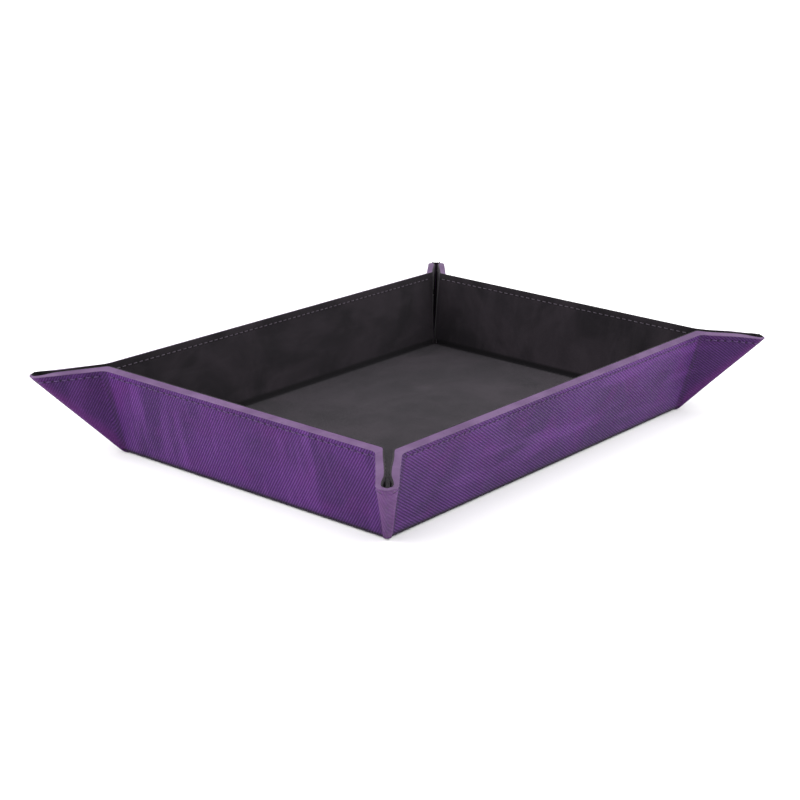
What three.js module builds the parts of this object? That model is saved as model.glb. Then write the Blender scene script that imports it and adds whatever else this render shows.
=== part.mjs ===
// Folding dice tray: a flat laminated sheet whose four walls fold up and whose corners pinch into ears.
//
// Millimetres, +Z up. The origin is on the table under the middle of the floor, +X runs along the long side.
// Every panel is drawn where it lies in the flat sheet, and nested groups then fold it about its creases:
// floor -> wall -> the ear half next to a long wall -> the ear half next to a short wall.
import * as THREE from "three";

// Sizes of the folded tray.
const BASE_LENGTH = 231; // floor, along X, between the sharp outer base edges
const BASE_WIDTH = 155; // floor, along Y
const WALL_HEIGHT = 41; // up a wall's outer face, from base edge to rim
const WALL_FOLD = 78; // degrees that a wall is folded up from flat
const EAR_GAP = 3; // between the lining faces of a pinched ear

// The laminate, from the outside in: grained cover, stiff board, velvet lining, with a line of glue between.
const COVER = 0.9;
const BOARD = 1.8;
const LINING = 0.9;
const GLUE = 0.1;
const THICKNESS = COVER + GLUE + BOARD + GLUE + LINING;
const BOARD_LEVEL = COVER + GLUE;
const LINING_LEVEL = BOARD_LEVEL + BOARD + GLUE;

// What is left free beside each crease, measured square to it in the flat sheet.
const BASE_CREASE_CLEAR = 2.3;
const EAR_CREASE_CLEAR = 1.5;
const EAR_FOLD_CLEAR = 2;
const EAR_FOOT = 3; // an ear starts this far out from the floor's edge
const BOARD_INSET = 1; // a board's edge inside the cover's edge

// Rim finish and magnets.
const EDGE_PAINT = 0.6;
const EDGE_GAP = 0.1;
const MAGNET_RADIUS = 5;
const MAGNET_DEPTH = 1.5;
const POCKET_RADIUS = 5.3;
const MAGNET_SIDES = 32;
const MAGNET_FROM_RIM = 11;
const MAGNET_FROM_CREASE = 10;

// Worked out from the sizes above. A base crease turns about the middle of the laminate's thickness.
const FOLD = THREE.MathUtils.degToRad(WALL_FOLD);
const EAR_TURN = Math.acos(Math.sin(FOLD) / Math.SQRT2); // a wall's angle to the upright plane of an ear
const MID = THICKNESS / 2;
const SETBACK = MID * Math.tan(FOLD / 2); // the base crease lies this far inside the outer base edge
const RIM = WALL_HEIGHT - 2 * SETBACK; // the rim in the flat sheet, out from the outer base edge
const CREASE_SLOPE = Math.cos(FOLD);
const CREASE_START = (EAR_GAP + THICKNESS) / Math.SQRT2 + SETBACK * (1 - CREASE_SLOPE);
const EAR_CREASE_SHIFT = EAR_CREASE_CLEAR * Math.hypot(1, CREASE_SLOPE);
const FOLD_SHIFT = EAR_FOLD_CLEAR * Math.SQRT2;
const PANEL_RIM = RIM - EDGE_PAINT - EDGE_GAP;

const coverFinish = { color: 0x5f4173, roughness: 0.6, metalness: 0 };
const liningFinish = { color: 0x29272b, roughness: 0.95, metalness: 0 };
const edgeFinish = { color: 0x87709a, roughness: 0.45, metalness: 0 };
const boardFinish = { color: 0x8c8478, roughness: 0.9, metalness: 0 };
const magnetFinish = { color: 0xb8bcc2, roughness: 0.3, metalness: 1 };

const CORNERS = [
  { name: "front_left", x: -1, y: -1, long: "front", short: "left" },
  { name: "front_right", x: 1, y: -1, long: "front", short: "right" },
  { name: "back_left", x: -1, y: 1, long: "back", short: "left" },
  { name: "back_right", x: 1, y: 1, long: "back", short: "right" },
];

// Near a floor corner, "along" is measured along the wall from the corner and "out" from the floor's edge.
// Each corner has two such maps to the flat sheet, one for each of the walls that meet there.
function byLongWall(corner) {
  return (along, out) => new THREE.Vector2(
    corner.x * (BASE_LENGTH / 2 - along),
    corner.y * (BASE_WIDTH / 2 + out),
  );
}

function byShortWall(corner) {
  return (along, out) => new THREE.Vector2(
    corner.x * (BASE_LENGTH / 2 + out),
    corner.y * (BASE_WIDTH / 2 - along),
  );
}

// Where the crease between a wall and its ear crosses the sheet, "out" from the floor's edge.
function creaseAlong(out) {
  return CREASE_START - out * CREASE_SLOPE;
}

function wallEdge(out, inset) {
  return creaseAlong(out) + EAR_CREASE_SHIFT + inset;
}

function earEdge(out, inset) {
  return creaseAlong(out) - EAR_CREASE_SHIFT - inset;
}

function foldEdge(out, inset) {
  return FOLD_SHIFT + inset * Math.SQRT2 - out;
}

// The four outline points of an ear half between two distances out from the floor's edge.
function earOutline(place, foot, rim, inset) {
  return [
    place(earEdge(foot, inset), foot),
    place(foldEdge(foot, inset), foot),
    place(foldEdge(rim, inset), rim),
    place(earEdge(rim, inset), rim),
  ];
}

// A wall spans two corners, which are given as their maps to the flat sheet.
function wallOutline(first, second, foot, rim, inset) {
  return [
    first(wallEdge(foot, inset), foot),
    second(wallEdge(foot, inset), foot),
    second(wallEdge(rim, inset), rim),
    first(wallEdge(rim, inset), rim),
  ];
}

function magnetPlace(place) {
  const out = RIM - MAGNET_FROM_RIM;
  return place(creaseAlong(out) - MAGNET_FROM_CREASE, out);
}

function sheet(name, outline, level, depth, finish, pocket) {
  const shape = new THREE.Shape(outline);
  if (pocket) {
    const hole = new THREE.Path();
    const clockwise = !THREE.ShapeUtils.isClockWise(outline);
    hole.absarc(pocket.x, pocket.y, POCKET_RADIUS, 0, 2 * Math.PI, clockwise);
    shape.holes.push(hole);
  }
  const settings = { depth, bevelEnabled: false, curveSegments: MAGNET_SIDES / 2 };
  const geometry = new THREE.ExtrudeGeometry(shape, settings);
  const mesh = new THREE.Mesh(geometry, new THREE.MeshStandardMaterial(finish));
  mesh.name = name;
  mesh.position.z = level;
  return mesh;
}

// Cover, board and lining of one panel. outline(inset) gives the panel's edge, drawn in by that much.
function laminate(group, name, outline, pocket) {
  group.add(sheet(`${name}_cover`, outline(0), 0, COVER, coverFinish));
  group.add(sheet(`${name}_board`, outline(BOARD_INSET), BOARD_LEVEL, BOARD, boardFinish, pocket));
  group.add(sheet(`${name}_lining`, outline(0), LINING_LEVEL, LINING, liningFinish));
}

function paintedEdge(group, name, outline) {
  group.add(sheet(`${name}_edge`, outline, 0, THICKNESS, edgeFinish));
}

function magnet(group, name, centre) {
  const geometry = new THREE.CylinderGeometry(MAGNET_RADIUS, MAGNET_RADIUS, MAGNET_DEPTH, MAGNET_SIDES);
  const mesh = new THREE.Mesh(geometry, new THREE.MeshStandardMaterial(magnetFinish));
  mesh.name = `${name}_magnet`;
  mesh.rotation.x = Math.PI / 2;
  mesh.position.set(centre.x, centre.y, BOARD_LEVEL + BOARD / 2);
  group.add(mesh);
}

// A group whose contents turn by angle about the line through point along direction.
function foldedGroup(parent, point, direction, angle) {
  const group = new THREE.Group();
  group.quaternion.setFromAxisAngle(direction.clone().normalize(), angle);
  group.position.copy(point).sub(point.clone().applyQuaternion(group.quaternion));
  parent.add(group);
  return group;
}

function addFloor(tray) {
  const outline = (inset) => {
    const halfLength = BASE_LENGTH / 2 - SETBACK - BASE_CREASE_CLEAR - inset;
    const halfWidth = BASE_WIDTH / 2 - SETBACK - BASE_CREASE_CLEAR - inset;
    return [
      new THREE.Vector2(-halfLength, -halfWidth),
      new THREE.Vector2(halfLength, -halfWidth),
      new THREE.Vector2(halfLength, halfWidth),
      new THREE.Vector2(-halfLength, halfWidth),
    ];
  };
  laminate(tray, "floor", outline);
}

// outward is the wall's direction from the floor in the flat sheet.
function addWall(tray, name, outward, reach, first, second) {
  const hinge = outward.clone().multiplyScalar(reach - SETBACK).setZ(MID);
  const direction = new THREE.Vector3(0, 0, 1).cross(outward);
  const group = foldedGroup(tray, hinge, direction, -FOLD);
  const foot = BASE_CREASE_CLEAR - SETBACK;
  const outline = (inset) => wallOutline(first, second, foot + inset, PANEL_RIM - inset, inset);
  laminate(group, `${name}_wall`, outline);
  paintedEdge(group, `${name}_wall`, wallOutline(first, second, RIM - EDGE_PAINT, RIM, 0));
  return group;
}

function addEarHalf(group, name, place) {
  const outline = (inset) => earOutline(place, EAR_FOOT + inset, PANEL_RIM - inset, inset);
  const centre = magnetPlace(place);
  laminate(group, name, outline, centre);
  paintedEdge(group, name, earOutline(place, RIM - EDGE_PAINT, RIM, 0));
  magnet(group, name, centre);
}

// An ear's first half folds back from its long wall, and its second half lies doubled over on the first.
function addEar(longWall, corner) {
  const turn = corner.x * corner.y;
  const long = byLongWall(corner);
  const near = new THREE.Vector3(...long(creaseAlong(0), 0), MID);
  const far = new THREE.Vector3(...long(creaseAlong(RIM), RIM), MID);
  const firstHalf = foldedGroup(longWall, near, far.sub(near), turn * EAR_TURN);
  addEarHalf(firstHalf, `${corner.name}_ear_${corner.long}`, long);

  const apex = new THREE.Vector3(...long(0, 0), THICKNESS + EAR_GAP / 2);
  const diagonal = new THREE.Vector3(corner.x, corner.y, 0);
  const secondHalf = foldedGroup(firstHalf, apex, diagonal, -turn * Math.PI);
  addEarHalf(secondHalf, `${corner.name}_ear_${corner.short}`, byShortWall(corner));
}

function buildTray() {
  const tray = new THREE.Group();
  addFloor(tray);
  const [frontLeft, frontRight, backLeft, backRight] = CORNERS;
  const towards = (x, y) => new THREE.Vector3(x, y, 0);
  const halfLength = BASE_LENGTH / 2;
  const halfWidth = BASE_WIDTH / 2;
  const longWalls = {
    front: addWall(tray, "front", towards(0, -1), halfWidth, byLongWall(frontLeft), byLongWall(frontRight)),
    back: addWall(tray, "back", towards(0, 1), halfWidth, byLongWall(backLeft), byLongWall(backRight)),
  };
  addWall(tray, "left", towards(-1, 0), halfLength, byShortWall(frontLeft), byShortWall(backLeft));
  addWall(tray, "right", towards(1, 0), halfLength, byShortWall(frontRight), byShortWall(backRight));
  for (const corner of CORNERS) addEar(longWalls[corner.long], corner);
  return tray;
}

export default buildTray();
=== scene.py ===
"""Looks, materials, camera and studio for the folding dice tray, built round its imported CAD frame."""
import math

import bmesh
import bpy
import numpy as np
from mathutils import Matrix, Vector


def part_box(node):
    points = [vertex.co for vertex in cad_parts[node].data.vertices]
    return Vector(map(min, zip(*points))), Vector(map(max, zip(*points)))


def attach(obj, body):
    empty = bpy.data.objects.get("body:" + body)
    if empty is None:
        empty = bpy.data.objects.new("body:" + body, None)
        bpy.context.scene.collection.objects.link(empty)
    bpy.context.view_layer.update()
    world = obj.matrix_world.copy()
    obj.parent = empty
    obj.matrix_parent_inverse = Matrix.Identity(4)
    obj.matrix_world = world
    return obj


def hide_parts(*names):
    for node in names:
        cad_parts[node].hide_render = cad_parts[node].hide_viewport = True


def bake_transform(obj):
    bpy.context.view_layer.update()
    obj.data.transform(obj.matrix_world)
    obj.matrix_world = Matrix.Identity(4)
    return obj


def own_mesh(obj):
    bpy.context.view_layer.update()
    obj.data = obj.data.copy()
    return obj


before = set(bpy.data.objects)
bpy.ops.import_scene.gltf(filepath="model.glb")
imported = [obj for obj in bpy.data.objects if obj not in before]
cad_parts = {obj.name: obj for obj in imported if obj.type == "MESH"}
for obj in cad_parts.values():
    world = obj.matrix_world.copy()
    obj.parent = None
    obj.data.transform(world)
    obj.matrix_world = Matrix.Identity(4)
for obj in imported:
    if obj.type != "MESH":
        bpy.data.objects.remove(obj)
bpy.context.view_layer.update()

# Lengths are in millimetres until a mesh is made, which is in metres.
MM = 0.001
ROOT2 = math.sqrt(2)
FOLD = math.radians(78)  # a wall is folded up this far from flat
SLOPE = math.cos(FOLD)
RISE = math.sin(FOLD)
THICKNESS = 3.8
WALL_HEIGHT = 41.0  # up a wall's outer face
SETBACK = THICKNESS / 2 * math.tan(FOLD / 2)
BASE_CREASE_CLEAR = 2.3
RIM = WALL_HEIGHT - 2 * SETBACK  # the rim in the flat sheet, out from the outer base edge
SKIN = 0.6  # thickness of the cover and lining sheets as modelled
WELD = 0.002  # points of a mesh closer than this are joined

floor_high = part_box("floor_cover")[1] / MM
HALF_LENGTH = floor_high.x + SETBACK + BASE_CREASE_CLEAR
HALF_WIDTH = floor_high.y + SETBACK + BASE_CREASE_CLEAR

# Rounding of the base edges, outside and inside.
OUTER_RADIUS = 1.8
OUTER_TANGENT = OUTER_RADIUS * math.tan(FOLD / 2)
INNER_RADIUS = 1.2
INNER_TANGENT = INNER_RADIUS * math.tan(FOLD / 2)
STRIP_EDGE = 1.5  # the bending strips reach this far onto the flat panels
ARC_STEPS = 10

# An ear seen along the tray: half its outer width and half its inner gap, at the base and at the rim.
WIDTH_AT_BASE = 1.6
WIDTH_AT_RIM = 5.0
WIDTH_AT_TIP = 4.4
GAP_AT_BASE = 0.3
GAP_AT_RIM = 1.6
# Half the gap's opening beside the fold, and how far each soft tip is pulled out and up.
TEAR_WIDTH = {"front_left": 2.1, "front_right": 3.2, "back_left": 3.2, "back_right": 1.2}
PULL = {
    "front_left": (0.0, 0.8),
    "front_right": (0.5, 0.75),
    "back_left": (0.0, 0.0),
    "back_right": (1.4, 1.4),
}
# The gap opens over TEAR_RAMP, from TEAR_LENGTH before the fold, in rows that are long enough.
TEAR_LENGTH = 11.0
TEAR_RAMP = 8.0
TEAR_ROW_LENGTH = 12.0
# Elsewhere the gap is pinched by this share, reached this far along a row.
PINCH = 0.5
PINCH_REACH = 0.7
NOSE_INSIDE = 2.4
EAR_TIP = np.array([41.2, 36.3])  # out along the diagonal from the base corner, and up
TIP_ROUNDING = 1.4
INNER_TIP = np.array([39.4, 36.5])
INNER_BASE_OUT = 0.3  # the lining's fold starts this far outside the lining's base corner
RIDGE_RADIUS = 5.0
RIDGE_START_RISE = math.radians(41)
RIDGE_STEPS = 12
RIDGE_FOOT = 4.8  # along the ridge, where the wall rows leave the base edge's rounding
TIP_STEPS = 6
TIP_FROM = 30.0  # rows above this bend over with the rounded tip
CREASE_REACH = 2.6  # the soft crease between wall and ear reaches this far onto each
LIP_REACH = 1.2
# A nose and a crease take at most these shares of a row, outside and inside.
OUTER_SHARES = (0.6, 0.35)
INNER_SHARES = (0.5, 0.3)

# Two soft ears stand off the diagonal, towards the short wall: by how much at the rim, and more at the tip.
LEAN = {"front_left": (-0.5, -5.0), "back_right": (-0.5, -5.4)}
SOFT_FROM = 2.5  # an ear is soft from this far inside its valley
PULL_RAMP = 18.0  # its pull grows over this distance from there
# Near its valley a leaning ear also slides along the wall, less and less over this distance from there,
# and not at the very middle of the ear.
SLIDE_RAMP = 16.0
SLIDE_ACROSS = 1.5

STITCH_PITCH = 3.5
STITCH_LENGTH = 0.78 * STITCH_PITCH
STITCH_SLANT = 0.05
STITCH_FROM_RIM = 2.7
STITCH_RADIUS = 0.3
ROW_OVER_CREASE = 0.6  # a wall's stitches run this far onto its soft creases
NO_STITCHES = 50.0  # a place on the rim map that is far from any stitch

RIB_PITCH = 1.16
RIB_DIRECTION = math.radians(32.8)  # in the flat sheet, from the long side

EAR_FLAT_STEPS = 14
EAR_NOSE_STEPS = 8
CREASE_STEPS = 6
WALL_STEPS = 24
EAR_ROWS = [5, 8, 11, 14, 17, 20, 23, 26, 29, 32, 35, 37.4, 39.2]

# Each corner's signs of x and y, and its long and short walls.
CORNERS = {
    "front_left": (-1, -1, "front", "left"),
    "front_right": (1, -1, "front", "right"),
    "back_left": (-1, 1, "back", "left"),
    "back_right": (1, 1, "back", "right"),
}
WALLS = {
    "front": ("front_left", "front_right"),
    "back": ("back_left", "back_right"),
    "left": ("front_left", "back_left"),
    "right": ("front_right", "back_right"),
}
OUTWARD = {
    "front": Vector((0, -1, 0)),
    "back": Vector((0, 1, 0)),
    "left": Vector((-1, 0, 0)),
    "right": Vector((1, 0, 0)),
}
EARS = [(corner, half) for corner in CORNERS for half in (1, -1)]


def corner_signs(corner):
    return CORNERS[corner][:2]


def is_long(wall):
    return wall in ("front", "back")


def half_of(wall):
    return 1 if is_long(wall) else -1


def wall_distance(wall):
    """From the middle of the tray to a wall's outer base edge."""
    return HALF_WIDTH if is_long(wall) else HALF_LENGTH


def wall_of(corner, half):
    return CORNERS[corner][2 if half > 0 else 3]


def ear_body(corner, half):
    return f"{corner}_ear_{wall_of(corner, half)}"


def smoothstep(t):
    t = np.clip(t, 0, 1)
    return t * t * (3 - 2 * t)


def level_of(r, rim=WALL_HEIGHT):
    """Row r's height as a share of the rim's, from 0 to 1."""
    return min(max(r / rim, 0), 1)


def taper(at_base, at_rim, level):
    return at_base + (at_rim - at_base) * level


# ---- shape of a corner

# Near a corner a point is (u, p, z): u out along the diagonal from the sharp base corner, p across it,
# positive on the side of the long wall, and z up. Row r runs up the wall from the floor's edge.

def rounded_edge(r, radius, tangent, foot, level):
    """(distance in from the base edge, height) of row r on the floor, or round a base edge from its foot."""
    if r <= 0:
        return foot - r, level
    turn = FOLD * r / tangent
    return foot - radius * math.sin(turn), level + radius * (1 - math.cos(turn))


def outer_profile(r):
    """(distance in from the base edge, height) of the outer face at row r."""
    if r < OUTER_TANGENT:
        return rounded_edge(r, OUTER_RADIUS, OUTER_TANGENT, OUTER_TANGENT, 0.0)
    return -r * SLOPE, r * RISE


def outer_flat(r):
    """How far out row r of the outer face lies in the flat sheet."""
    if r <= 0:
        return r - OUTER_TANGENT
    if r < OUTER_TANGENT:
        return -OUTER_TANGENT + (2 * OUTER_TANGENT - 2 * SETBACK) * r / OUTER_TANGENT
    return r - 2 * SETBACK


def inner_profile(r):
    """The same for the inner face. There, r is also the distance out in the flat sheet."""
    if r < INNER_TANGENT:
        return rounded_edge(r, INNER_RADIUS, INNER_TANGENT, 2 * SETBACK + INNER_TANGENT, THICKNESS)
    up = r + 2 * SETBACK
    return THICKNESS * RISE - up * SLOPE, THICKNESS * SLOPE + up * RISE


class Path:
    """A polyline that is read by its share of the whole length."""

    def __init__(self, points):
        self.points = np.array(points, float)
        steps = np.linalg.norm(np.diff(self.points, axis=0), axis=1)
        self.length = np.concatenate([[0], np.cumsum(steps)])

    def at(self, distance):
        return np.stack([np.interp(distance, self.length, self.points[:, k]) for k in (0, 1)], axis=-1)

    def share(self, t):
        return self.at(np.asarray(t) * self.length[-1])


def bezier(a, b, c, t):
    t = np.asarray(t, float)[:, None]
    return (1 - t) ** 2 * a + 2 * t * (1 - t) * b + t * t * c


def tip_rounding(before, after):
    """Half of the rounded tip, from its edge that runs along before to its middle."""
    steps = np.linspace(0, 0.5, TIP_STEPS + 1)
    return list(bezier(EAR_TIP - TIP_ROUNDING * before, EAR_TIP, EAR_TIP - TIP_ROUNDING * after, steps))


def ridge_path():
    """The ear's folded outer edge, from the floor up to the middle of its rounded tip."""
    start = np.array([-ROOT2 * OUTER_TANGENT, 0.0])

    def bend(turn):
        return start + RIDGE_RADIUS * np.array([math.sin(turn), 1 - math.cos(turn)])

    rise = RIDGE_START_RISE
    for _ in range(30):
        rise = math.atan2(EAR_TIP[1] - bend(rise)[1], EAR_TIP[0] - bend(rise)[0])
    arc = [bend(rise * k / RIDGE_STEPS) for k in range(RIDGE_STEPS + 1)]
    along = np.array([math.cos(rise), math.sin(rise)])
    return Path(arc + tip_rounding(along, top_direction()))


def valley(r, width):
    """(u, z) where the wall's outer face meets the ear's, which stands width from the middle."""
    inward, height = outer_profile(r)
    return np.array([-width - ROOT2 * inward, height])


def top_direction():
    step = EAR_TIP - valley(WALL_HEIGHT, WIDTH_AT_RIM)
    return step / np.linalg.norm(step)


def top_path():
    """The ear's top edge, from the valley to the middle of its rounded tip."""
    rise = RIDGE.points[RIDGE_STEPS] - RIDGE.points[RIDGE_STEPS - 1]
    along = rise / np.linalg.norm(rise)
    return Path([valley(WALL_HEIGHT, WIDTH_AT_RIM)] + tip_rounding(top_direction(), along))


RIDGE = ridge_path()
TOP = top_path()


def ridge(r):
    if r <= 0:
        return np.array([-ROOT2 * (OUTER_TANGENT - r), 0.0])
    if r < OUTER_TANGENT:
        return RIDGE.at(RIDGE_FOOT * r / OUTER_TANGENT)
    share = (r - OUTER_TANGENT) / (WALL_HEIGHT - OUTER_TANGENT)
    return RIDGE.at(RIDGE_FOOT + (RIDGE.length[-1] - RIDGE_FOOT) * share)


def column_shares(start, nose):
    """Where an ear's columns stand between valley (0) and ridge (1), and the cosine of the nose there."""
    flat = np.linspace(start, 1 - nose, EAR_FLAT_STEPS + 1)
    turn = np.linspace(0, math.pi / 2, EAR_NOSE_STEPS + 1)[1:]
    shares = np.concatenate([flat, 1 - nose * (1 - np.sin(turn))])
    return shares, np.concatenate([np.ones(len(flat)), np.cos(turn)])


def wall_side(point, reach):
    """A point reach along the long wall from a (u, p, z) point."""
    return point + reach / ROOT2 * np.array([-1.0, 1.0, 0.0])


def ear_outer_row(r, reach=0.0):
    """One row of the outer face of an ear half, from its valley to the middle of its ridge.
    With a reach, the soft crease comes first, from the wall: (wall half, ear half)."""
    level = level_of(r)
    width = taper(WIDTH_AT_BASE, WIDTH_AT_RIM, level)
    tip_width = taper(WIDTH_AT_BASE, WIDTH_AT_TIP, level)
    foot, crest = valley(r, width), ridge(r)
    length = np.linalg.norm(crest - foot)
    nose = min(tip_width, OUTER_SHARES[0] * length) / length
    reach = min(reach, OUTER_SHARES[1] * length)
    shares, cosine = column_shares(reach / length, nose)
    pull = float(smoothstep((r - TIP_FROM) / (WALL_HEIGHT - TIP_FROM)))
    straight = TOP.points[0] + shares[:, None] * (TOP.points[-1] - TOP.points[0])
    plane = foot + shares[:, None] * (crest - foot) + pull * (TOP.share(shares) - straight)
    across = (width + (tip_width - width) * shares) * cosine
    ear = np.stack([plane[:, 0], across, plane[:, 1]], axis=1)
    if not reach:
        return ear
    sharp = np.array([foot[0], width, foot[1]])
    return crease_arc(wall_side(sharp, reach), sharp, ear)


def crease_arc(wall_point, sharp, ear):
    """(columns on the wall's side, columns on the ear's side) of a row rounded from wall to ear."""
    turn = smoothstep(np.linspace(0, 1, 2 * CREASE_STEPS + 1))
    arc = bezier(wall_point, sharp, ear[0], turn)
    return arc[: CREASE_STEPS + 1], np.concatenate([arc[CREASE_STEPS:-1], ear])


def ear_inner_row(r, corner="back_left"):
    """One row of the lining in an ear half's gap, with its rounded lip: (wall half, ear half).
    Only the ear half differs between the corners."""
    level = level_of(r, RIM)
    gap = taper(GAP_AT_BASE, GAP_AT_RIM, level)
    inward, height = inner_profile(r)
    foot = np.array([-gap - ROOT2 * inward, height])
    base_inward, base_height = inner_profile(0)
    base = np.array([-ROOT2 * base_inward + INNER_BASE_OUT, base_height])
    crest = base + level * (INNER_TIP - base) if r > 0 else np.array([-ROOT2 * inward, height])
    length = np.linalg.norm(crest - foot)
    nose = min(NOSE_INSIDE, INNER_SHARES[0] * length) / length
    reach = min(LIP_REACH, INNER_SHARES[1] * length)
    shares, cosine = column_shares(reach / length, nose)
    plane = foot + shares[:, None] * (crest - foot)
    pinched = gap * (1 - PINCH * smoothstep(shares / PINCH_REACH) * level)
    tear = taper(gap, TEAR_WIDTH[corner], level)
    opening = smoothstep((TEAR_LENGTH - (1 - shares) * length) / TEAR_RAMP)
    opening = opening * smoothstep(length / TEAR_ROW_LENGTH - 0.5)
    across = (pinched + (tear - pinched) * opening) * cosine
    ear = np.stack([plane[:, 0], np.maximum(across, 0.1), plane[:, 1]], axis=1)
    sharp = np.array([foot[0], gap, foot[1]])
    return crease_arc(wall_side(sharp, reach), sharp, ear)


# ---- from a corner to the tray

def to_tray(corner, half, points):
    """(u, p, z) points of the long (1) or short (-1) half of a corner, in the tray's own millimetres."""
    x, y = corner_signs(corner)
    points = np.asarray(points, float)
    u, p, z = (points[..., k] for k in range(3))
    from_valley = u - z * ROOT2 * SLOPE / RISE + SOFT_FROM
    pulled = smoothstep(from_valley / PULL_RAMP)
    u, z = u + PULL[corner][0] * pulled, z + PULL[corner][1] * pulled
    if corner in LEAN:
        by_height, by_reach = LEAN[corner]
        lean = half * (by_height * z / WALL_HEIGHT + by_reach * np.maximum(u, 0) / EAR_TIP[0])
        slide = (1 - smoothstep(from_valley / SLIDE_RAMP)) * smoothstep(p / SLIDE_ACROSS)
        u, p = u - lean * slide, p + lean
    p = half * p
    return np.stack([x * (HALF_LENGTH - (p - u) / ROOT2), y * (HALF_WIDTH + (u + p) / ROOT2), z], axis=-1)


def both_halves(corner, row, first=1):
    """A row across a whole corner, from the side of its first half round to the other's."""
    return np.concatenate([to_tray(corner, first, row), to_tray(corner, -first, row)[-2::-1]])


def across_axis(corner, half):
    x, y = corner_signs(corner)
    return Vector((-half * x, half * y, 0)).normalized()


def flat_of_wall(wall, points, out):
    """Where points of a wall, at distances out, lie in the flat sheet."""
    flat = np.asarray(points, float)[..., :2].copy()
    axis = 1 if is_long(wall) else 0
    flat[..., axis] = OUTWARD[wall][axis] * (wall_distance(wall) + out)
    return flat


def unrolled(rows):
    """Rows of an ear half with their rounded nose laid out straight, for the pattern on it."""
    rows = rows.copy()
    turn = np.linspace(0, math.pi / 2, EAR_NOSE_STEPS + 1)[1:, None]
    for row in rows:
        nose = row[-1, [0, 2]] - row[-1 - EAR_NOSE_STEPS, [0, 2]]
        row[-EAR_NOSE_STEPS:, [0, 2]] += nose * (turn - np.sin(turn))
    return rows


def flat_of_ear(corner, half, points):
    """Where points of an ear half lie in the flat sheet, turned there about its rim end."""
    points = unrolled(np.asarray(points, float))
    from_valley = valley(WALL_HEIGHT, WIDTH_AT_RIM)
    valley_along = ROOT2 * WIDTH_AT_RIM - WALL_HEIGHT * SLOPE
    valley_end = complex(-valley_along, RIM)
    scale = (complex(RIM, RIM) - valley_end) / complex(*(EAR_TIP - from_valley))
    place = (points[..., 0] - from_valley[0]) + 1j * (points[..., 2] - from_valley[1])
    place = valley_end + scale * place
    along, out = -place.real, place.imag
    x, y = corner_signs(corner)
    if half > 0:
        return np.stack([x * (HALF_LENGTH - along), y * (HALF_WIDTH + out)], axis=-1)
    return np.stack([x * (HALF_LENGTH + out), y * (HALF_WIDTH - along)], axis=-1)


# ---- meshes

def grid_normals(grid, toward):
    """Unit normals of a grid of points, on the side of the vector toward."""
    down = np.gradient(grid, axis=0)
    side = np.gradient(grid, axis=1)
    normals = np.cross(down, side)
    size = np.linalg.norm(normals, axis=-1, keepdims=True)
    mean = normals.sum(axis=(0, 1))
    mean = mean / np.linalg.norm(mean)
    normals = np.where(size > 1e-9, normals / np.maximum(size, 1e-9), mean)
    return normals if mean @ np.array(toward) > 0 else -normals


def add_object(name, data):
    made = bpy.data.objects.new(name, data)
    bpy.context.scene.collection.objects.link(made)
    return made


def add_mesh(name, work, material):
    """The object made from a bmesh."""
    mesh = bpy.data.meshes.new(name)
    work.to_mesh(mesh)
    work.free()
    mesh.materials.append(material)
    return add_object(name, mesh)


def mesh_object(name, points, faces, flat, rim, material, sharp_angle=40):
    """A smooth-shaded mesh with the two pattern maps its material reads."""
    work = bmesh.new()
    maps = [work.loops.layers.uv.new("flat"), work.loops.layers.uv.new("rim")]
    verts = [work.verts.new(Vector(p) * MM) for p in points]
    for face in faces:
        made = work.faces.new([verts[k] for k in face])
        made.smooth = True
        for loop, k in zip(made.loops, face):
            loop[maps[0]].uv = Vector(flat[k]) * MM
            loop[maps[1]].uv = Vector(rim[k])
    bmesh.ops.remove_doubles(work, verts=work.verts, dist=WELD * MM)
    bmesh.ops.dissolve_degenerate(work, edges=work.edges, dist=WELD * MM)
    bmesh.ops.recalc_face_normals(work, faces=work.faces)
    for edge in work.edges:
        if len(edge.link_faces) == 2 and edge.calc_face_angle(0) > math.radians(sharp_angle):
            edge.smooth = False
    return add_mesh(name, work, material)


def no_rim(grid):
    return np.full(grid.shape[:-1] + (2,), NO_STITCHES)


def shell(name, face, back, material, flat=None, rim=None):
    """A closed sheet between two grids of points of the same size."""
    flat = face[..., :2] if flat is None else flat
    rim = no_rim(face) if rim is None else rim
    rows, columns = face.shape[:2]
    count = rows * columns
    points = np.concatenate([face.reshape(-1, 3), back.reshape(-1, 3)])
    faces = []
    for i in range(rows - 1):
        for j in range(columns - 1):
            quad = [i * columns + j, i * columns + j + 1, (i + 1) * columns + j + 1, (i + 1) * columns + j]
            faces.append(quad)
            faces.append([count + k for k in reversed(quad)])
    border = list(range(columns))
    border += [i * columns + columns - 1 for i in range(1, rows)]
    border += [(rows - 1) * columns + j for j in range(columns - 2, -1, -1)]
    border += [i * columns for i in range(rows - 2, 0, -1)]
    for k, a in enumerate(border):
        b = border[(k + 1) % len(border)]
        faces.append([b, a, count + a, count + b])
    flat = np.concatenate([flat.reshape(-1, 2)] * 2)
    rim = np.concatenate([rim.reshape(-1, 2)] * 2)
    return mesh_object(name, points, faces, flat, rim, material)


def sheet(name, face, toward, material, flat=None, rim=None, thickness=SKIN):
    """A shell whose back lies thickness from its face, on the side of the vector toward."""
    back = face + thickness * grid_normals(face, toward)
    return shell(name, face, back, material, flat, rim)


def tube_faces(ring, columns, base=0):
    """Faces of a bar whose points are numbered along it first and then round it, closed at both ends."""
    faces = []
    for i in range(ring):
        line = base + i * columns
        beside = base + (i + 1) % ring * columns
        faces += [[line + j, line + j + 1, beside + j + 1, beside + j] for j in range(columns - 1)]
    faces.append([base + i * columns for i in range(ring)])
    faces.append([base + i * columns + columns - 1 for i in reversed(range(ring))])
    return faces


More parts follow.
